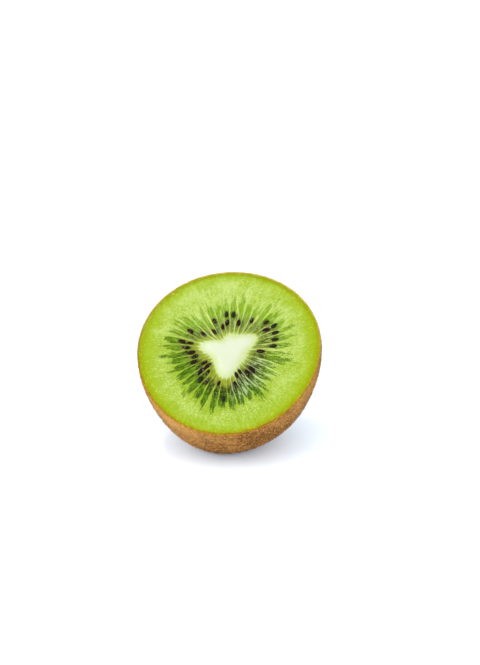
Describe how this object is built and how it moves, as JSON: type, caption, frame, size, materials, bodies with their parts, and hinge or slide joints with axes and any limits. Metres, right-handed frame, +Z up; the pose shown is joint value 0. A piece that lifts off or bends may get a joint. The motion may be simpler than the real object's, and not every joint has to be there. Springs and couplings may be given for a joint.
{
  "type": "kiwi fruit half",
  "caption": "Half a green kiwi fruit resting on its brown fuzzy skin, with the cut face leaning up to show the pale core, dark rays and seeds.",
  "frame": {"origin": "middle of the small flat spot of skin that the fruit rests on", "axes": "+Z up, +X to the right across the cut face, -Y the way the cut face looks, which also leans up"},
  "size_m": [0.0498, 0.0482, 0.0466],
  "materials": {
    "flesh": "wet, slightly see-through green fruit flesh with a cream core",
    "skin": "dry brown skin with short soft fuzz",
    "seed": "wet glossy near-black seeds"
  },
  "bodies": {
    "root": {"kiwi_half": "flesh"}
  },
  "joints": []
}
